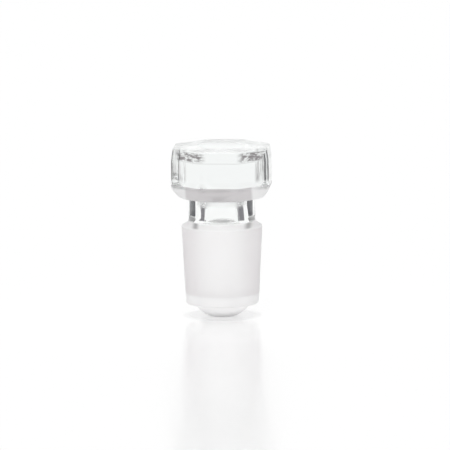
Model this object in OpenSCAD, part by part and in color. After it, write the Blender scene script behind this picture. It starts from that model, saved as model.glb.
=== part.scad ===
// Octagonal hollow glass stopper for a ground taper joint.
// One piece of glass: a pressed octagonal head, a neck, a ground joint and a closed, domed end.
// The air inside is sealed in. The foot stands on z = 0 and the axis of the joint is the z axis.

/* [Ground joint] */
// Diameter of the ground joint at its large end
joint_d = 24; // [21:0.1:45]
// Length of the ground surface
joint_length = 20; // [14:0.5:45]
// Diameter lost for each millimetre of length, 0.1 for the usual 1 to 10 taper
joint_taper = 0.1; // [0.05:0.01:0.15]

/* [Closed end] */
// Height of the clear wall between the ground surface and the lower edge
lower_band = 3.2; // [1.5:0.1:8]
// How much smaller in radius the lower edge is than the small end of the ground surface
lower_edge_inset = 0.25; // [0.1:0.05:0.6]
// Rounding of the lower edge
lower_edge_round = 0.6; // [0.2:0.1:1.2]
// Radius of the spherical bottom
dome_radius = 10.2; // [9.5:0.1:14]
// How far the spherical bottom stands out below the lower edge
dome_depth = 3.7; // [2:0.1:4.2]
// Rounding between the spherical bottom and the lower edge
dome_blend = 0.8; // [0.3:0.1:1.2]
// Radius of the flat foot that the stopper stands on
foot_radius = 4; // [2.5:0.1:4.8]

/* [Shoulder and neck] */
// Diameter of the neck
neck_d = 19.9; // [16:0.1:20.4]
// Height of the neck, from the large end of the ground surface to the head
neck_height = 8.9; // [5.5:0.1:20]
// Height of the upright edge above the ground surface
shoulder_edge = 0.15; // [0.1:0.05:1]
// Height of the sloping shoulder between that edge and the neck
shoulder_rise = 1.2; // [0.6:0.1:2]
// Rounding of the shoulder's outer edge
shoulder_round = 0.4; // [0.1:0.1:1]
// Rounding between the shoulder and the neck
neck_root_round = 1.1; // [0.5:0.1:2.5]
// Rounding between the neck and the head
neck_top_round = 0.7; // [0.2:0.1:1]

/* [Head] */
// Number of flats around the head
head_sides = 8; // [6:1:12]
// Width of the head across its flats
head_across_flats = 29.2; // [27:0.1:50]
// Height of the head
head_height = 15.1; // [12:0.1:25]
// Height of the upper bevel
top_bevel_height = 3.35; // [1:0.05:4.5]
// Inset of the upper bevel
top_bevel_inset = 0.5; // [0.2:0.05:3]
// Height of the lower bevel
low_bevel_height = 3.2; // [2:0.1:6]
// Inset of the lower bevel
low_bevel_inset = 1.6; // [0.5:0.05:2.2]
// How far the upright corners between the flats are rounded back
corner_relief = 0.25; // [0.05:0.05:0.5]
// How far the underside of the head reaches out from the neck before it turns up
under_width = 2.75; // [1.8:0.05:3.5]
// Rounding where the underside of the head turns up
under_round = 1; // [0.5:0.1:4]
// Lean from upright of the cone that carries on from this rounding
under_lean = 45; // [25:1:55]

/* [Hollow] */
// Thickness of the glass under the hollow, on the axis
floor_thickness = 5.2; // [2:0.1:7]
// Wall around the hollow at the small end of the ground surface
joint_wall_low = 3.9; // [2:0.1:5]
// Wall around the hollow at the large end of the ground surface
joint_wall_high = 5.4; // [2.5:0.1:6.5]
// Wall of the neck at its root
neck_wall_low = 4.6; // [2.5:0.1:5.5]
// Wall of the neck where the hollow starts to close
neck_wall_high = 5.4; // [2.5:0.1:5.8]
// How far the top of the hollow reaches into the head
hollow_reach = 2.4; // [0.5:0.1:6]
// Rounding of the hollow's floor
hollow_floor_round = 4; // [1:0.1:5]
// Rounding where the hollow narrows below the neck
hollow_shoulder_round = 2.5; // [0.5:0.1:4]

/* [Hidden] */
$fn = 96;
arc_steps = 10; // straight steps in each rounded corner
eps = 0.5;      // how far cutting bodies and hidden overlaps run past a face

glass = [0.86, 0.93, 0.91, 0.55];

lower_edge_z = dome_depth;
joint_low_z = lower_edge_z + lower_band;
joint_high_z = joint_low_z + joint_length;
head_low_z = joint_high_z + neck_height;
head_top_z = head_low_z + head_height;

joint_high_r = joint_d / 2;
joint_low_r = joint_high_r - joint_length * joint_taper / 2;
lower_edge_r = joint_low_r - lower_edge_inset;
neck_r = neck_d / 2;
neck_root_z = joint_high_z + shoulder_edge + shoulder_rise;

head_apothem = head_across_flats / 2;
head_corner_r = head_apothem / cos(180 / head_sides);
head_round_r = head_corner_r - corner_relief;
top_bevel_angle = atan(top_bevel_inset / top_bevel_height);
low_bevel_angle = atan(low_bevel_inset / low_bevel_height);

// Centre height of the spherical bottom, so that it meets the floor at the foot
dome_z = sqrt(pow(dome_radius, 2) - pow(foot_radius, 2));
// Centre of the rounding between the spherical bottom and the lower edge
blend_z = lower_edge_z - dome_blend;
blend_r = sqrt(pow(dome_radius + dome_blend, 2) - pow(dome_z - blend_z, 2));
blend_angle = atan2(blend_z - dome_z, blend_r);

hollow_top_z = head_low_z + hollow_reach;
hollow_joint_low_r = joint_low_r - joint_wall_low;
hollow_joint_high_r = joint_high_r - joint_wall_high;
hollow_neck_low_r = neck_r - neck_wall_low;
hollow_neck_high_r = neck_r - neck_wall_high;

function unit(v) = v / norm(v);

// Points of an arc about a centre, from one angle to another
function arc(centre, radius, from, to) =
    [for (i = [0:arc_steps])
        let (angle = from + (to - from) * i / arc_steps)
        centre + radius * [cos(angle), sin(angle)]];

// Points that round the corner at b, between a and c. The rounding is limited by the shorter side.
function rounded(a, b, c, radius) =
    let (to_a = unit(a - b),
         to_c = unit(c - b),
         half_angle = acos(to_a * to_c) / 2,
         reach = min(radius / tan(half_angle), 0.49 * min(norm(a - b), norm(c - b))),
         r = reach * tan(half_angle),
         centre = b + unit(to_a + to_c) * r / sin(half_angle),
         start = b + to_a * reach - centre,
         end = b + to_c * reach - centre,
         first = atan2(start.y, start.x),
         turn = atan2(start.x * end.y - start.y * end.x, start * end))
    arc(centre, r, first, first + turn);

// Outline of everything below the head, from the foot to inside the head
module body_outline() {
    ledge = [blend_r, lower_edge_z];
    lower_edge = [lower_edge_r, lower_edge_z];
    joint_low = [joint_low_r, joint_low_z];
    joint_high = [joint_high_r, joint_high_z];
    shoulder = [joint_high_r, joint_high_z + shoulder_edge];
    neck_root = [neck_r, neck_root_z];
    neck_top = [neck_r, head_low_z];
    under_head = [neck_r + 2 * neck_top_round, head_low_z];
    polygon(concat(
        [[0, 0]],
        arc([0, dome_z], dome_radius, atan2(-dome_z, foot_radius), blend_angle),
        arc([blend_r, blend_z], dome_blend, blend_angle + 180, 90),
        rounded(ledge, lower_edge, joint_low, lower_edge_round),
        [joint_low, joint_high],
        rounded(joint_high, shoulder, neck_root, shoulder_round),
        rounded(shoulder, neck_root, neck_top, neck_root_round),
        rounded(neck_root, neck_top, under_head, neck_top_round),
        [[under_head.x, head_low_z + eps], [0, head_low_z + eps]]
    ));
}

// Outline of the sealed hollow, which is widest at the closed end and narrows into the neck
module hollow_outline() {
    floor_axis = [0, floor_thickness];
    floor_edge = [hollow_joint_low_r, floor_thickness];
    joint_high = [hollow_joint_high_r, joint_high_z];
    neck_root = [hollow_neck_low_r, neck_root_z];
    top_edge = [hollow_neck_high_r, hollow_top_z];
    top_axis = [0, hollow_top_z];
    polygon(concat(
        [floor_axis],
        rounded(floor_axis, floor_edge, joint_high, hollow_floor_round),
        rounded(floor_edge, joint_high, neck_root, hollow_shoulder_round),
        rounded(joint_high, neck_root, top_edge, hollow_shoulder_round),
        rounded(neck_root, top_edge, top_axis, hollow_neck_high_r),
        [top_axis]
    ));
}

// Outline that the head is turned to: a rounding under it, a cone and an upright side
module head_outline() {
    under_axis = [0, head_low_z];
    under_edge = [neck_r + under_width, head_low_z];
    cone_end = under_edge + (head_corner_r - under_edge.x) * [1, 1 / tan(under_lean)];
    polygon(concat(
        [under_axis],
        rounded(under_axis, under_edge, cone_end, under_round),
        [cone_end, [cone_end.x, head_top_z + eps], [0, head_top_z + eps]]
    ));
}

// One flat's bevel: what lies outside a plane that leans in from the flat's edge at height z
module bevel_cut(z, lean) {
    width = 2 * head_corner_r;
    depth = head_height;
    translate([head_apothem, 0, z])
        rotate([0, lean, 0])
            translate([0, -width / 2, -depth])
                cube([depth, width, 2 * depth]);
}

module head() {
    difference() {
        intersection() {
            translate([0, 0, head_low_z])
                rotate([0, 0, 90 + 180 / head_sides])
                    linear_extrude(height = head_height)
                        circle(r = head_corner_r, $fn = head_sides);
            rotate_extrude()
                head_outline();
            cylinder(r = head_round_r, h = head_top_z + eps);
        }
        for (side = [0:head_sides - 1])
            rotate([0, 0, 90 + side * 360 / head_sides]) {
                bevel_cut(head_top_z - top_bevel_height, -top_bevel_angle);
                bevel_cut(head_low_z + low_bevel_height, low_bevel_angle);
            }
    }
}

module stopper() {
    color(glass)
        difference() {
            union() {
                rotate_extrude()
                    body_outline();
                head();
            }
            rotate_extrude()
                hollow_outline();
        }
}

stopper();
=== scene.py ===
import math

import bpy
import numpy as np
from mathutils import Matrix, Vector


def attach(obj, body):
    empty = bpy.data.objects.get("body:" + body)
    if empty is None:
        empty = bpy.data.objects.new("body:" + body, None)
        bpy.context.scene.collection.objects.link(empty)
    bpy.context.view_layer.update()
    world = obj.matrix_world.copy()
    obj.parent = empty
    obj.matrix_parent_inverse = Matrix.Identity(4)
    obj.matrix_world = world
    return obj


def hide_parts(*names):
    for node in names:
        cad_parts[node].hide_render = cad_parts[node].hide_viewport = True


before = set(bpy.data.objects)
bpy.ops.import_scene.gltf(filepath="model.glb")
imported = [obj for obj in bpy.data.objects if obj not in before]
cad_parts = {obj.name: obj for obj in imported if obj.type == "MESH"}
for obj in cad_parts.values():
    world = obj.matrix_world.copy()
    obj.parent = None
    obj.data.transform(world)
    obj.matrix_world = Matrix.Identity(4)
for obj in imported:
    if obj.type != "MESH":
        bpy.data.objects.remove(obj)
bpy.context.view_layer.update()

# Lengths are in millimetres and angles in degrees, unless a comment says otherwise.
MM = 0.001

# ---------------------------------------------------------------- sizes
# The sizes of the CAD solid, by the names that they have there. The glass is drawn again
# with many more steps, so that light bends smoothly in it.
JOINT_D, JOINT_LENGTH, JOINT_TAPER = 24.0, 20.0, 0.1
LOWER_BAND, LOWER_EDGE_INSET, LOWER_EDGE_ROUND = 3.2, 0.25, 0.6
DOME_RADIUS, DOME_DEPTH, DOME_BLEND, FOOT_RADIUS = 10.2, 3.7, 0.8, 4.0
NECK_D, NECK_HEIGHT = 19.9, 8.9
SHOULDER_EDGE, SHOULDER_RISE, SHOULDER_ROUND = 0.15, 1.2, 0.4
NECK_ROOT_ROUND, NECK_TOP_ROUND = 1.1, 0.7
HEAD_SIDES, HEAD_ACROSS_FLATS, HEAD_HEIGHT = 8, 29.2, 15.1
TOP_BEVEL_HEIGHT, TOP_BEVEL_INSET = 3.35, 0.5
LOW_BEVEL_HEIGHT, LOW_BEVEL_INSET = 3.2, 1.6
UNDER_WIDTH, UNDER_ROUND, UNDER_LEAN = 2.75, 1.0, 45
FLOOR_THICKNESS = 5.2
JOINT_WALL_LOW, JOINT_WALL_HIGH = 3.9, 5.4
NECK_WALL_LOW, NECK_WALL_HIGH = 4.6, 5.4
HOLLOW_REACH, HOLLOW_FLOOR_ROUND, HOLLOW_SHOULDER_ROUND = 2.4, 4.0, 2.5

LOWER_EDGE_Z = DOME_DEPTH
JOINT_LOW_Z = LOWER_EDGE_Z + LOWER_BAND
JOINT_HIGH_Z = JOINT_LOW_Z + JOINT_LENGTH
NECK_ROOT_Z = JOINT_HIGH_Z + SHOULDER_EDGE + SHOULDER_RISE
HEAD_LOW_Z = JOINT_HIGH_Z + NECK_HEIGHT
HEAD_TOP_Z = HEAD_LOW_Z + HEAD_HEIGHT
HOLLOW_TOP_Z = HEAD_LOW_Z + HOLLOW_REACH

JOINT_HIGH_R = JOINT_D / 2
JOINT_LOW_R = JOINT_HIGH_R - JOINT_LENGTH * JOINT_TAPER / 2
NECK_R = NECK_D / 2
HOLLOW_TOP_R = NECK_R - NECK_WALL_HIGH
SIDE_ANGLE = 360 / HEAD_SIDES
HEAD_APOTHEM = HEAD_ACROSS_FLATS / 2
HEAD_CORNER_R = HEAD_APOTHEM / math.cos(math.radians(SIDE_ANGLE / 2))

# Soft edges of the pressed head, which the solid has sharp or nearly so
CORNER_ROUND = 3.0                  # upright corners between the flats
TOP_ROUND, BEVEL_ROUND, LOW_ROUND = 0.35, 1.0, 1.5   # edges around the head, from the top down
UNDER_SOFT = 0.5                    # edge between the flats and the turned underside

# Fineness of the mesh
COLUMNS, HOLLOW_COLUMNS = 256, 128
CORNER_CROWDING = 1.5               # above 1, columns stand closer together at the corners
HEAD_STEP, BEVEL_STEP, BODY_STEP, HOLLOW_STEP = 0.33, 0.2, 0.5, 0.7
# Rings on the flat faces: the top, the foot and both ends of the hollow, as shares of their radius
TOP_SHARES = np.linspace(0, 1, 22)[1:-1]
FOOT_SHARES = (0.97, 0.9, 0.75, 0.5, 0.25)
HOLLOW_FLOOR_SHARES, HOLLOW_TOP_SHARES = (0.25, 0.5, 0.75), (0.66, 0.33)

# ---------------------------------------------------------------- finish of the glass
# A colour tints the light each time that it crosses the surface.
NECK_TINT = (0.982, 0.992, 0.988, 1)
HEAD_TINT = (0.905, 0.925, 0.918, 1)
HEAD_TINT_FROM, HEAD_TINT_TO = 36.5, 38.0
MIDDLE_X = 0.6                      # middle between the marks on the left and on the right

# Ground surface of the joint
GROUND_COLOR = (0.985, 0.972, 0.976, 1)
# Painted shade: the ground surface darker where it turns away from the view, at its left and right
# edges
GROUND_SIDE_SHADE = (0.95, 0.922, 0.932, 1)          # where the surface turns away
GROUND_SIDE_FROM, GROUND_SIDE_TO = 0.08, 0.4         # by Layer Weight's Facing
GROUND_ROUGH, GROUND_ROUGH_SPREAD, GROUND_MATT = 0.48, 0.12, 0.55
GROUND_EDGE_OUT, GROUND_EDGE_IN = 0.06, 0.1          # width of its two edges, outside and inside
GROUND_EDGE_DRIFT = 0.12                             # how far they wander

# Satin glass under the ground surface and on the shoulder above it.
# A matt share is the share of the surface that is plain white instead of clear.
SATIN_COLOR = (0.995, 0.99, 0.992, 1)
SATIN_ROUGH = 0.5
BAND_MATT, DOME_MATT, SHOULDER_MATT = 0.66, 0.95, 0.6
SHOULDER_TOP, SHOULDER_TOP_SOFT = 28.5, 0.5
DOME_EDGE_SOFT = 0.3                # half the width of the change from the clear wall to the dome
OUTSIDE_R, OUTSIDE_SOFT = 9.0, 0.4  # the ground surface and the shoulder lie beyond this radius
FINE_EDGE = 0.1                     # width of the sharpest changes of finish

# Head
# Painted shade: the gray seen on the head's pressed underside from outside, lighter to its left and
# right
UNDER_SHADE = (0.44, 0.405, 0.42, 1)                  # its pressed underside, seen from outside
UNDER_SIDE_SHADE = (0.8, 0.78, 0.79, 1)               # the same, to the left and right
UNDER_SIDE_FROM, UNDER_SIDE_TO = 9.4, 10.4
UNDER_LOW, UNDER_LOW_SOFT = HEAD_LOW_Z - 0.4, 0.2    # height where that tint starts
UNDER_TOP, UNDER_ROUGHNESS = 40.1, 0.35              # height where it ends
TOP_FROM, TOP_TO = HEAD_TOP_Z - 0.2, HEAD_TOP_Z - 0.05
TOP_ROUGHNESS, TOP_MATT = 0.25, 0.35

# Painted shade on the head's front, where its facets show dark surroundings: dark spots on the
# upper bevel, dark streaks at the sides and a dark line at the bevel's lower edge. A pair of places
# is where a change of finish starts and where it ends.
MARK_SHADE = (0.07, 0.06, 0.064, 1)
SPOT_FROM, SPOT_TO, SPOT_LEAST = 0.37, 0.57, 0.2     # noise that starts a spot and fills it
SPOT_DEPTH, SPOT_REACH, SPOT_EDGE = 1.75, 1.0, 0.7   # their band, measured down from the top face
LEFT_SPOTS_X, LEFT_SPOTS_REACH, LEFT_SPOTS_Y = -8.6, 3.2, (-7.0, -6.0)
RIGHT_SPOTS_X, RIGHT_SPOTS_REACH, RIGHT_SPOTS_Y = 10.2, 2.4, (-6.0, -5.0)
SPOTS_SIDE_EDGE = 2.5
STREAK_FROM, STREAK_TO, STREAK_STRENGTH = 0.35, 0.7, 0.8
STREAKS_X, STREAKS_Y = (9.8, 10.8), (-5.0, -2.0)
STREAKS_Z = (UNDER_TOP + 0.5, UNDER_TOP + 2.5)
EDGE_REACH, EDGE_SOFT, EDGE_STRENGTH = 0.06, 0.12, 0.35

# Two soft shades on the front of the shoulder
SHADE_X, SHADE_SOFT, SHADE_STRENGTH = 7.8, 1.5, 0.6
SHADE_Y, SHADE_Z = (-4.0, -2.0), (JOINT_HIGH_Z + 0.05, JOINT_HIGH_Z + 0.7)

# Hollow
BORE_R, BORE_SOFT, BORE_LOW = 7.0, 0.5, 26.5         # its upper part, inside this radius
# Painted shade: a gray ring on the hollow's skin at the foot of the neck, seen through the neck as
# a gray arc
RIM_SHADE, RIM_TOP = (0.56, 0.56, 0.56, 1), 28.5      # the gray ring at the foot of the neck
CLOSED_FROM, CLOSED_TO, CLOSED_ROUGH = 32.2, 34.0, 0.4   # its cloudy closed top

# Scales of the noises, in waves a metre, and heights of the bumps, in metres
GRAIN_SCALE, EDGE_SCALE, WAVE_SCALE = 2600.0, 900.0, 160.0
SPOT_SCALE, STREAK_SCALE = (480.0, 480.0, 1300.0), (900.0, 900.0, 130.0)
LINE_SCALE, STRIAE_SCALE = (350.0, 350.0, 7000.0), (1500.0, 1500.0, 60.0)
GROUND_BUMP, GROUND_LINES, SMOOTH_BUMP, STRIAE_BUMP = 0.35, 0.6, 0.5, 0.4
GROUND_BUMP_HEIGHT, CLEAR_BUMP_HEIGHT = 0.00002, 0.00004

# ---------------------------------------------------------------- sizes and colours of the stage
FLOOR_HALF, FLOOR_DROP = 3.0, 0.00002                # metres
PAPER, PAPER_ROUGH, PAPER_SPECULAR = (0.93, 0.93, 0.93, 1), 0.18, 0.2
GLOW_LEAST, GLOW_FROM, GLOW_TO = 0.85, 20, 90        # share of plain white, least beside the foot
CONTACT_SHADE, CONTACT_FROM, CONTACT_TO = 0.87, 10.8, 12.4   # what is left of that white under it
MIRROR_LEAST, MIRROR_MOST, MIRROR_FROM, MIRROR_TO = 0.1, 0.6, 6, 16   # share of it that mirrors
MIRROR_ROUGH = 0.2
CARD_RADIUS, CARD_STEPS = 0.16, 24                   # metres, flat steps around a card
WHITE = (1, 1, 1, 1)


# ---------------------------------------------------------------- outlines
def unit(v):
    return v / np.linalg.norm(v)


def arc(centre, radius, start, end, steps):
    turns = np.radians(np.linspace(start, end, steps + 1))
    return [np.array([centre[0] + radius * math.cos(t), centre[1] + radius * math.sin(t)])
            for t in turns]


def rounded(a, b, c, radius, steps):
    """Points of an arc that rounds the corner at b, between a and c, as far as they leave room."""
    a, b, c = (np.array(p, float) for p in (a, b, c))
    to_a, to_c = unit(a - b), unit(c - b)
    half = math.acos(float(np.clip(to_a @ to_c, -1, 1))) / 2
    shorter = min(np.linalg.norm(a - b), np.linalg.norm(c - b))
    reach = min(radius / math.tan(half), 0.49 * shorter)
    r = reach * math.tan(half)
    centre = b + unit(to_a + to_c) * r / math.sin(half)
    start, end = b + to_a * reach - centre, b + to_c * reach - centre
    first = math.degrees(math.atan2(start[1], start[0]))
    turn = math.degrees(math.atan2(start[0] * end[1] - start[1] * end[0], start @ end))
    return arc(centre, r, first, first + turn, steps)


def filled(points, step):
    """The same polyline with extra points, so that no step is longer than the given length."""
    out = [points[0]]
    for p, q in zip(points[:-1], points[1:]):
        n = max(1, math.ceil(np.linalg.norm(q - p) / step - 1e-9))
        out += [p + (q - p) * i / n for i in range(1, n + 1)]
    return out


def head_rows():
    """Rows of the head, from its top down: apothem of the octagon, radius of the turned outline
    that trims its corners, and height."""
    top_axis, top_edge = (0, HEAD_TOP_Z), (HEAD_APOTHEM - TOP_BEVEL_INSET, HEAD_TOP_Z)
    bevel_edge = (HEAD_APOTHEM, HEAD_TOP_Z - TOP_BEVEL_HEIGHT)
    low_edge = (HEAD_APOTHEM, HEAD_LOW_Z + LOW_BEVEL_HEIGHT)
    low_end = (HEAD_APOTHEM - LOW_BEVEL_INSET, HEAD_LOW_Z)
    line = rounded(top_axis, top_edge, bevel_edge, TOP_ROUND, steps=6)
    line += rounded(top_edge, bevel_edge, low_edge, BEVEL_ROUND, steps=8)
    line += rounded(bevel_edge, low_edge, low_end, LOW_ROUND, steps=8)
    octagon = filled(line, HEAD_STEP)

    slope = math.tan(math.radians(UNDER_LEAN))
    cone_end = (HEAD_CORNER_R, HEAD_LOW_Z + (HEAD_CORNER_R - NECK_R - UNDER_WIDTH) / slope)
    under_edge, under_axis = (NECK_R + UNDER_WIDTH, HEAD_LOW_Z), (0, HEAD_LOW_Z)
    under = rounded(cone_end, under_edge, under_axis, UNDER_ROUND, steps=22)
    bevel_top, bevel_low = octagon[-1], under[0]

    def bevel_apothem(z):
        share = (bevel_top[1] - z) / (bevel_top[1] - low_end[1])
        return bevel_top[0] + share * (low_end[0] - bevel_top[0])

    def cone_radius(z):
        return HEAD_CORNER_R + (z - cone_end[1]) * slope

    trimmed_below = cone_end[1] + 3 * UNDER_SOFT   # the cone can't reach the flats above this
    steps = max(2, math.ceil((bevel_top[1] - bevel_low[1]) / BEVEL_STEP))
    rows = [(share * line[0][0], np.inf, HEAD_TOP_Z) for share in TOP_SHARES]
    rows += [(a, cone_radius(z) if z < trimmed_below else np.inf, z) for a, z in octagon]
    rows += [(bevel_apothem(z), cone_radius(z), z)
             for z in np.linspace(bevel_top[1], bevel_low[1], steps + 1)[1:]]
    rows += [(bevel_apothem(z), r, z) for r, z in under[1:]]
    return rows


def body_rows():
    """Rows of all below the head, from the neck's top down to the foot: radius and height."""
    under_head, neck_top = (NECK_R + 2 * NECK_TOP_ROUND, HEAD_LOW_Z), (NECK_R, HEAD_LOW_Z)
    neck_root, shoulder = (NECK_R, NECK_ROOT_Z), (JOINT_HIGH_R, JOINT_HIGH_Z + SHOULDER_EDGE)
    joint_high, joint_low = (JOINT_HIGH_R, JOINT_HIGH_Z), (JOINT_LOW_R, JOINT_LOW_Z)
    dome_z = math.sqrt(DOME_RADIUS ** 2 - FOOT_RADIUS ** 2)
    blend_z = LOWER_EDGE_Z - DOME_BLEND
    blend_r = math.sqrt((DOME_RADIUS + DOME_BLEND) ** 2 - (dome_z - blend_z) ** 2)
    blend_angle = math.degrees(math.atan2(blend_z - dome_z, blend_r))
    foot_angle = math.degrees(math.atan2(-dome_z, FOOT_RADIUS))
    lower_edge, ledge = (JOINT_LOW_R - LOWER_EDGE_INSET, LOWER_EDGE_Z), (blend_r, LOWER_EDGE_Z)
    line = rounded(under_head, neck_top, neck_root, NECK_TOP_ROUND, steps=8)
    line += rounded(neck_top, neck_root, shoulder, NECK_ROOT_ROUND, steps=14)
    line += rounded(neck_root, shoulder, joint_high, SHOULDER_ROUND, steps=6)
    line += [np.array(joint_high), np.array(joint_low)]
    line += rounded(joint_low, lower_edge, ledge, LOWER_EDGE_ROUND, steps=8)
    line += arc((blend_r, blend_z), DOME_BLEND, 90, blend_angle + 180, steps=12)
    line += arc((0, dome_z), DOME_RADIUS, blend_angle, foot_angle, steps=26)
    line += [np.array([FOOT_RADIUS * share, 0.0]) for share in FOOT_SHARES]
    return filled(line, BODY_STEP)


def hollow_rows():
    """Rows of the hollow, from its floor up: radius and height."""
    floor_axis = (0, FLOOR_THICKNESS)
    floor_edge = (JOINT_LOW_R - JOINT_WALL_LOW, FLOOR_THICKNESS)
    joint_high = (JOINT_HIGH_R - JOINT_WALL_HIGH, JOINT_HIGH_Z)
    neck_root = (NECK_R - NECK_WALL_LOW, NECK_ROOT_Z)
    top_edge, top_axis = (HOLLOW_TOP_R, HOLLOW_TOP_Z), (0, HOLLOW_TOP_Z)
    line = rounded(floor_axis, floor_edge, joint_high, HOLLOW_FLOOR_ROUND, steps=18)
    line += rounded(floor_edge, joint_high, neck_root, HOLLOW_SHOULDER_ROUND, steps=10)
    line += rounded(joint_high, neck_root, top_edge, HOLLOW_SHOULDER_ROUND, steps=10)
    line += rounded(neck_root, top_edge, top_axis, HOLLOW_TOP_R, steps=18)
    line = filled(line, HOLLOW_STEP)
    first, last = line[0], line[-1]
    floor_rows = [(first[0] * share, first[1]) for share in HOLLOW_FLOOR_SHARES]
    top_rows = [(last[0] * share, last[1]) for share in HOLLOW_TOP_SHARES]
    return floor_rows + line + top_rows


# ---------------------------------------------------------------- meshes
def corner_angles(columns):
    """Angles around the axis, closer together at the octagon's corners. A flat faces -Y."""
    per_side = columns // HEAD_SIDES
    t = (np.arange(per_side) + 0.5) / per_side * 2 - 1
    local = np.sign(t) * (1 - (1 - np.abs(t)) ** CORNER_CROWDING) * SIDE_ANGLE / 2
    return np.radians(np.concatenate([-90 + SIDE_ANGLE * s + local for s in range(HEAD_SIDES)]))


def octagon_radius(angles, apothem):
    """Distance from the axis to an octagon with rounded corners."""
    side = math.radians(SIDE_ANGLE)
    off = (angles + math.radians(90) + side / 2) % side - side / 2
    r = min(CORNER_ROUND, 0.5 * apothem)
    flat = apothem / np.cos(off)
    corner_centre = (apothem - r) / math.cos(side / 2)
    psi = side / 2 - np.abs(off)
    turned = corner_centre * np.cos(psi) + np.sqrt(
        np.maximum(r * r - (corner_centre * np.sin(psi)) ** 2, 0))
    starts = math.atan2((apothem - r) * math.tan(side / 2), apothem)
    return np.where(np.abs(off) > starts, turned, flat)


def soft_min(a, b, width):
    """The smaller of two values, with a soft change between them."""
    h = np.maximum(width - np.abs(a - b), 0) / width
    return np.minimum(a, b) - h * h * width / 4


def ring(radius, angles, z):
    radius = radius * np.ones_like(angles)
    return np.stack([radius * np.cos(angles), radius * np.sin(angles), np.full_like(angles, z)], 1)


def rings_mesh(rings, inward):
    """Vertices and faces of a closed skin through rings of points, closed by a fan at each end."""
    n = len(rings[0])
    points = np.concatenate(rings + [[rings[0].mean(0), rings[-1].mean(0)]])
    first_hub, last_hub = len(points) - 2, len(points) - 1
    i = np.arange(n)
    j = (i + 1) % n
    faces = []
    for k in range(len(rings) - 1):
        a, b = k * n, (k + 1) * n
        faces += np.stack([a + i, b + i, b + j, a + j], 1).tolist()
    last = (len(rings) - 1) * n
    faces += [[first_hub, p, q] for p, q in zip(i.tolist(), j.tolist())]
    faces += [[last_hub, q, p] for p, q in zip((last + i).tolist(), (last + j).tolist())]
    if inward:
        faces = [f[::-1] for f in faces]
    return points, faces


def stopper_mesh():
    """The glass: its outer skin, and the skin of the sealed hollow."""
    angles = corner_angles(COLUMNS)
    rings = []
    for apothem, trim, z in head_rows():
        radius = octagon_radius(angles, apothem)
        if np.isfinite(trim):
            radius = soft_min(radius, trim, UNDER_SOFT)
        rings.append(ring(radius, angles, z))
    rings += [ring(r, angles, z) for r, z in body_rows()]
    outer, outer_faces = rings_mesh(rings, inward=False)
    even = np.radians(np.arange(HOLLOW_COLUMNS) * 360 / HOLLOW_COLUMNS)
    rings = [ring(r, even, z) for r, z in hollow_rows()[::-1]]
    inner, inner_faces = rings_mesh(rings, inward=True)
    points = np.concatenate([outer, inner]) * MM
    return points, outer_faces + [[v + len(outer) for v in f] for f in inner_faces]


def add_mesh(name, points, faces, material):
    mesh = bpy.data.meshes.new(name)
    mesh.from_pydata([tuple(p) for p in points], [], faces)
    mesh.polygons.foreach_set("use_smooth", [True] * len(mesh.polygons))
    mesh.materials.append(material)
    mesh.update()
    obj = bpy.data.objects.new(name, mesh)
    bpy.context.scene.collection.objects.link(obj)
    return obj


# ---------------------------------------------------------------- materials
class Nodes:
    """A short way to write a node tree."""

    def __init__(self, tree):
        self.tree = tree
        tree.nodes.clear()

    def add(self, kind, **values):
        """A new node. in_0=... fills an input by number, s_Base_Color=... by name."""
        node = self.tree.nodes.new(kind)
        for key, value in values.items():
            if key.startswith("in_"):
                self.put(node.inputs[int(key[3:])], value)
            elif key.startswith("s_"):
                self.put(node.inputs[key[2:].replace("_", " ")], value)
            else:
                setattr(node, key, value)
        return node

    def put(self, socket, value):
        if isinstance(value, bpy.types.NodeSocket):
            self.tree.links.new(value, socket)
        else:
            socket.default_value = value

    def math(self, operation, a, b=0.0, clamp=False):
        node = self.add("ShaderNodeMath", operation=operation, use_clamp=clamp, in_0=a, in_1=b)
        return node.outputs[0]

    def times(self, first, *others):
        for other in others:
            first = self.math("MULTIPLY", first, other)
        return first

    def largest(self, first, *others):
        for other in others:
            first = self.math("MAXIMUM", first, other)
        return first

    def inverse(self, value):
        return self.math("SUBTRACT", 1.0, value)

    def ramp(self, value, low, high, to_low=0.0, to_high=1.0):
        node = self.add("ShaderNodeMapRange", interpolation_type="SMOOTHSTEP", in_0=value,
                        in_1=low, in_2=high, in_3=to_low, in_4=to_high)
        return node.outputs[0]

    def rise(self, place, low, high, most=1.0):
        """0 below the low place and most above the high one, both in millimetres."""
        return self.ramp(place, low * MM, high * MM, 0.0, most)

    def fall(self, place, low, high):
        """1 below the low place and 0 above the high one, both in millimetres."""
        return self.ramp(place, low * MM, high * MM, 1.0, 0.0)

    def distance(self, place, centre):
        return self.math("ABSOLUTE", self.math("SUBTRACT", place, centre * MM))

    def near(self, place, centre, reach, soft):
        """1 within reach of the centre, falling to 0 over the soft width, all in millimetres."""
        return self.fall(self.distance(place, centre), reach, reach + soft)

    def mix(self, factor, a, b):
        node = self.add("ShaderNodeMix", data_type="RGBA")
        for index, value in ((0, factor), (6, a), (7, b)):
            self.put(node.inputs[index], value)
        return node.outputs[2]

    def noise(self, xyz, scales, detail, roughness):
        """Noise with a scale of its own along each axis."""
        scaled = [self.times(place, scale) for place, scale in zip(xyz, scales)]
        place = self.add("ShaderNodeCombineXYZ", in_0=scaled[0], in_1=scaled[1], in_2=scaled[2])
        return self.add("ShaderNodeTexNoise", s_Scale=1.0, s_Detail=detail, s_Roughness=roughness,
                        s_Vector=place.outputs[0]).outputs["Fac"]

    def bump(self, strength, distance, height):
        return self.add("ShaderNodeBump", s_Strength=strength, s_Distance=distance,
                        s_Height=height).outputs[0]


def new_material(name):
    material = bpy.data.materials.new(name)
    material.use_nodes = True
    return material, Nodes(material.node_tree)


def axis_distance(n, xyz):
    return n.math("SQRT", n.math("ADD", n.times(xyz[0], xyz[0]), n.times(xyz[1], xyz[1])))


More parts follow.
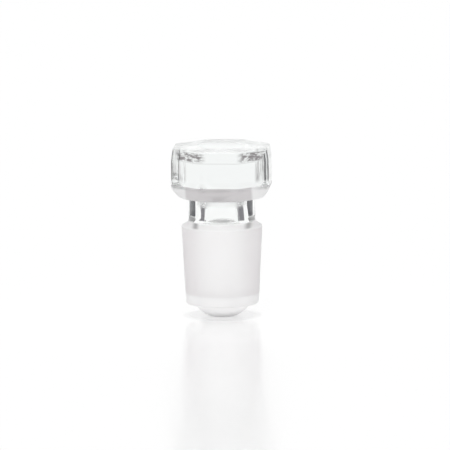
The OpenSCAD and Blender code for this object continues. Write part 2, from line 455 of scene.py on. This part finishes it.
def head_painted_shade(n, xyz, inside):
    """Painted shade on the head's front: dark spots on the upper bevel, streaks at the sides, the
    bevel's lower edge.
    """
    x, y, z = xyz[0], xyz[1], xyz[2]
    left = n.times(n.near(x, LEFT_SPOTS_X, LEFT_SPOTS_REACH, SPOTS_SIDE_EDGE),
                   n.fall(y, *LEFT_SPOTS_Y))
    right = n.times(n.near(x, RIGHT_SPOTS_X, RIGHT_SPOTS_REACH, SPOTS_SIDE_EDGE),
                    n.fall(y, *RIGHT_SPOTS_Y))
    spots = n.noise(xyz, SPOT_SCALE, detail=3.0, roughness=0.65)
    spots = n.ramp(spots, SPOT_FROM, SPOT_TO, SPOT_LEAST, 1.0)
    band = n.near(z, HEAD_TOP_Z - SPOT_DEPTH, SPOT_REACH, SPOT_EDGE)
    spots = n.times(spots, band, n.math("ADD", left, right))
    streaks = n.noise(xyz, STREAK_SCALE, detail=3.0, roughness=0.6)
    streaks = n.times(n.ramp(streaks, STREAK_FROM, STREAK_TO),
                      n.rise(n.distance(x, MIDDLE_X), *STREAKS_X), n.fall(y, *STREAKS_Y),
                      n.rise(z, *STREAKS_Z), STREAK_STRENGTH)
    edge = n.times(n.near(z, HEAD_TOP_Z - TOP_BEVEL_HEIGHT, EDGE_REACH, EDGE_SOFT), EDGE_STRENGTH)
    return n.times(n.largest(spots, streaks, edge), n.inverse(inside))


def glass_material():
    """Clear glass with a ground joint, satin glass on both sides of it and a pressed head.
    Each mask below is 1 on one part of the surface and 0 elsewhere."""
    material, n = new_material("stopper_glass")
    place = n.add("ShaderNodeTexCoord").outputs["Object"]
    xyz = n.add("ShaderNodeSeparateXYZ", in_0=place).outputs
    r = axis_distance(n, xyz)
    inside = n.add("ShaderNodeNewGeometry").outputs["Backfacing"]
    grain = n.add("ShaderNodeTexNoise", s_Vector=place, s_Scale=GRAIN_SCALE, s_Detail=4.0,
                  s_Roughness=0.6).outputs["Fac"]
    edge = n.add("ShaderNodeTexNoise", s_Vector=place, s_Scale=EDGE_SCALE, s_Detail=2.0)
    drift = n.times(n.math("SUBTRACT", edge.outputs["Fac"], 0.5), GROUND_EDGE_DRIFT * MM)
    z = n.math("ADD", xyz[2], drift)

    outside = n.rise(r, OUTSIDE_R, OUTSIDE_R + OUTSIDE_SOFT)
    low_edge = (JOINT_LOW_Z - GROUND_EDGE_OUT, JOINT_LOW_Z + GROUND_EDGE_IN)
    high_edge = (JOINT_HIGH_Z - GROUND_EDGE_IN, JOINT_HIGH_Z + GROUND_EDGE_OUT)
    ground = n.times(n.rise(z, *low_edge), n.fall(z, *high_edge), outside)
    low_end = n.fall(z, *low_edge)
    dome = n.fall(z, LOWER_EDGE_Z - DOME_EDGE_SOFT, LOWER_EDGE_Z + DOME_EDGE_SOFT)
    shoulder = n.times(n.rise(z, JOINT_HIGH_Z - FINE_EDGE, JOINT_HIGH_Z), outside,
                       n.fall(z, SHOULDER_TOP, SHOULDER_TOP + SHOULDER_TOP_SOFT))
    satin = n.math("ADD", low_end, shoulder)
    under = n.times(n.rise(xyz[2], UNDER_LOW, UNDER_LOW + UNDER_LOW_SOFT),
                    n.fall(xyz[2], UNDER_TOP - FINE_EDGE, UNDER_TOP + FINE_EDGE),
                    n.inverse(inside))
    top = n.rise(z, TOP_FROM, TOP_TO)
    bore = n.times(n.fall(r, BORE_R, BORE_R + BORE_SOFT),
                   n.rise(z, BORE_LOW, BORE_LOW + BORE_SOFT))
    rim_shade = n.times(bore, n.fall(z, RIM_TOP, RIM_TOP + FINE_EDGE))
    shade = n.times(n.near(n.distance(xyz[0], MIDDLE_X), SHADE_X, 0.0, SHADE_SOFT), shoulder,
                    n.rise(z, *SHADE_Z, SHADE_STRENGTH), n.fall(xyz[1], *SHADE_Y))

    under_side = n.rise(n.math("ABSOLUTE", xyz[0]), UNDER_SIDE_FROM, UNDER_SIDE_TO)
    clear_color = n.mix(n.rise(xyz[2], HEAD_TINT_FROM, HEAD_TINT_TO), NECK_TINT, HEAD_TINT)
    # Painted shade on the head's underside, lighter to its left and right
    clear_color = n.mix(under, clear_color, n.mix(under_side, UNDER_SHADE, UNDER_SIDE_SHADE))
    # Painted shade: the gray ring on the hollow's skin at the foot of the neck
    clear_color = n.mix(rim_shade, clear_color, RIM_SHADE)
    # Painted shade on the head's front: spots, side streaks and the bevel's lower edge
    clear_color = n.mix(head_painted_shade(n, xyz, inside), clear_color, MARK_SHADE)
    facing = n.add("ShaderNodeLayerWeight", s_Blend=0.5).outputs["Facing"]
    # Painted shade toward the left and right edges of the ground surface
    side_shade = n.ramp(facing, GROUND_SIDE_FROM, GROUND_SIDE_TO)
    ground_color = n.mix(side_shade, GROUND_COLOR, GROUND_SIDE_SHADE)
    ground_color = n.mix(inside, ground_color, SATIN_COLOR)
    satin_color = n.mix(shade, SATIN_COLOR, MARK_SHADE)
    color = n.mix(ground, n.mix(satin, clear_color, satin_color), ground_color)

    ground_rough = n.math("ADD", n.times(grain, GROUND_ROUGH_SPREAD), GROUND_ROUGH)
    closed_rough = n.rise(z, CLOSED_FROM, CLOSED_TO, CLOSED_ROUGH)
    rough = n.largest(n.times(ground, ground_rough), n.times(satin, SATIN_ROUGH),
                      n.times(under, UNDER_ROUGHNESS), n.times(bore, closed_rough),
                      n.times(top, TOP_ROUGHNESS))
    matt = n.math("ADD", n.times(low_end, n.ramp(dome, 0, 1, BAND_MATT, DOME_MATT)),
                  n.times(shoulder, SHOULDER_MATT))
    matt = n.largest(matt, n.times(ground, GROUND_MATT), n.times(top, TOP_MATT))

    lines = n.noise(xyz, LINE_SCALE, detail=3.0, roughness=0.7)
    ground_bump = n.bump(GROUND_BUMP, GROUND_BUMP_HEIGHT,
                         n.math("ADD", grain, n.times(lines, GROUND_LINES)))
    wave = n.add("ShaderNodeTexNoise", s_Vector=place, s_Scale=WAVE_SCALE, s_Detail=1.0,
                 s_Roughness=0.4).outputs["Fac"]
    smooth_bump = n.bump(SMOOTH_BUMP, CLEAR_BUMP_HEIGHT, wave)
    striae = n.noise(xyz, STRIAE_SCALE, detail=2.0, roughness=0.6)
    striae_bump = n.bump(STRIAE_BUMP, CLEAR_BUMP_HEIGHT, striae)
    normal = n.mix(bore, n.mix(ground, smooth_bump, ground_bump), striae_bump)

    shader = n.add("ShaderNodeBsdfPrincipled", s_Base_Color=color, s_Roughness=rough, s_IOR=1.5,
                   s_Transmission_Weight=n.inverse(matt), s_Normal=normal)
    n.add("ShaderNodeOutputMaterial", s_Surface=shader.outputs[0])
    return material


def floor_material():
    """Glossy white paper that is plain white to the camera and the glass, and keeps the shadow
    near the foot."""
    material, n = new_material("pale_floor")
    place = n.add("ShaderNodeTexCoord").outputs["Object"]
    r = axis_distance(n, n.add("ShaderNodeSeparateXYZ", in_0=place).outputs)
    path = n.add("ShaderNodeLightPath").outputs
    camera_ray = path["Is Camera Ray"]
    to_camera = n.times(n.ramp(r, GLOW_FROM * MM, GLOW_TO * MM, GLOW_LEAST, 1.0), camera_ray)
    to_glass = n.math("ADD", path["Is Glossy Ray"], path["Is Transmission Ray"])
    glowing = n.math("ADD", to_glass, to_camera, clamp=True)
    contact = n.ramp(r, CONTACT_FROM * MM, CONTACT_TO * MM, CONTACT_SHADE, 1.0)
    mirroring = n.ramp(r, MIRROR_FROM * MM, MIRROR_TO * MM, MIRROR_LEAST, MIRROR_MOST)
    paper = n.add("ShaderNodeBsdfPrincipled", s_Base_Color=PAPER, s_Roughness=PAPER_ROUGH,
                  s_Specular_IOR_Level=PAPER_SPECULAR)
    white = n.add("ShaderNodeEmission", s_Color=n.mix(camera_ray, WHITE, contact), s_Strength=1.0)
    mirror = n.add("ShaderNodeBsdfGlossy", s_Color=WHITE, s_Roughness=MIRROR_ROUGH)
    glow = n.add("ShaderNodeMixShader", in_0=n.times(camera_ray, mirroring),
                 in_1=white.outputs[0], in_2=mirror.outputs[0])
    surface = n.add("ShaderNodeMixShader", in_0=glowing, in_1=paper.outputs[0],
                    in_2=glow.outputs[0])
    n.add("ShaderNodeOutputMaterial", s_Surface=surface.outputs[0])
    return material


def flag_material(name, color):
    material, n = new_material(name)
    shade = n.add("ShaderNodeEmission", s_Color=color, s_Strength=1.0)
    n.add("ShaderNodeOutputMaterial", s_Surface=shade.outputs[0])
    return material


# ---------------------------------------------------------------- the stopper
points, faces = stopper_mesh()
stopper = add_mesh("stopper_glass", points, faces, glass_material())
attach(stopper, "root")
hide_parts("stopper")


# ---------------------------------------------------------------- stage and lights
def add_floor():
    corners = [(-1, -1), (1, -1), (1, 1), (-1, 1)]
    points = [(x * FLOOR_HALF, y * FLOOR_HALF, 0) for x, y in corners]
    floor = add_mesh("floor", points, [[0, 1, 2, 3]], floor_material())
    floor.location.z = -FLOOR_DROP


def add_flag(name, flag, start, end, bottom, top):
    """A dark upright card beyond the picture, curved about the object, which only the glass sees.
    Its angles are degrees clockwise from +Y, its bottom and top are heights in metres."""
    turns = np.radians(np.linspace(start, end, CARD_STEPS + 1))
    arcs = [[(CARD_RADIUS * math.sin(t), CARD_RADIUS * math.cos(t), z) for t in turns]
            for z in (bottom, top)]
    count = len(turns)
    quads = [[i, i + 1, count + i + 1, count + i] for i in range(count - 1)]
    card = add_mesh(name, arcs[0] + arcs[1], quads, flag)
    card.visible_camera = False
    card.visible_diffuse = False
    card.visible_glossy = False
    card.visible_shadow = False


def add_world():
    world = bpy.data.worlds.new("studio")
    bpy.context.scene.world = world
    world.use_nodes = True
    n = Nodes(world.node_tree)
    white = n.add("ShaderNodeBackground", s_Strength=1.0, s_Color=WHITE)
    n.add("ShaderNodeOutputWorld", s_Surface=white.outputs[0])


def add_light(name, place, target, size, power):
    """A rectangular lamp at a place, turned to a target, in metres and watts."""
    data = bpy.data.lights.new(name, "AREA")
    data.shape = "RECTANGLE"
    data.size, data.size_y = size
    data.energy = power
    light = bpy.data.objects.new(name, data)
    bpy.context.scene.collection.objects.link(light)
    place, target = Vector(place), Vector(target)
    turn = (target - place).to_track_quat("-Z", "Y").to_matrix().to_4x4()
    light.matrix_world = Matrix.Translation(place) @ turn


add_floor()
dark_flag = flag_material("dark_flag", (0.05, 0.05, 0.06, 1))
gray_flag = flag_material("gray_flag", (0.17, 0.165, 0.18, 1))
add_flag("flag_right_low", dark_flag, start=33, end=61, bottom=0.0, top=0.025)
add_flag("flag_left_low", dark_flag, start=-61, end=-40, bottom=0.0, top=0.025)
add_flag("flag_right", gray_flag, start=33, end=82, bottom=0.025, top=0.047)
add_flag("flag_left", gray_flag, start=-82, end=-40, bottom=0.03, top=0.047)
add_world()
add_light("key", place=(-0.02, -0.45, 0.75), target=(0, 0, 0.02), size=(0.6, 0.5), power=3.0)

# ---------------------------------------------------------------- camera
TURN, RISE, ROLL = math.radians(-5.0), math.radians(8.8), math.radians(-0.5)
DISTANCE = 3.0                      # metres
SENSOR = 36.0
IMAGE, PIXELS_PER_MM = 450, 3.358   # width and height of the image, in pixels, and its scale
FOOT_PIXEL = (222.7, 314.85)        # where the middle of the foot falls in the image


def add_camera():
    right = Vector((math.cos(TURN), -math.sin(TURN), 0))
    ahead = Vector((math.sin(TURN) * math.cos(RISE), math.cos(TURN) * math.cos(RISE),
                    -math.sin(RISE)))
    up = right.cross(ahead)
    camera_right = right * math.cos(ROLL) + up * math.sin(ROLL)
    camera_up = up * math.cos(ROLL) - right * math.sin(ROLL)
    aside = (IMAGE / 2 - FOOT_PIXEL[0]) / PIXELS_PER_MM * MM
    above = (FOOT_PIXEL[1] - IMAGE / 2) / PIXELS_PER_MM * MM
    target = camera_right * aside + camera_up * above
    data = bpy.data.cameras.new("camera")
    data.sensor_width = SENSOR
    data.lens = SENSOR * DISTANCE / (IMAGE / PIXELS_PER_MM * MM)
    data.clip_start, data.clip_end = 0.1, 20
    camera = bpy.data.objects.new("camera", data)
    bpy.context.scene.collection.objects.link(camera)
    basis = Matrix((camera_right, camera_up, -ahead)).transposed().to_4x4()
    camera.matrix_world = Matrix.Translation(target - ahead * DISTANCE) @ basis
    bpy.context.scene.camera = camera


add_camera()
bpy.context.scene.view_settings.view_transform = "Standard"
# Light crosses the glass and the hollow many times before it leaves them
cycles = bpy.context.scene.cycles
cycles.max_bounces = 48
cycles.transmission_bounces = 48
cycles.glossy_bounces = 24
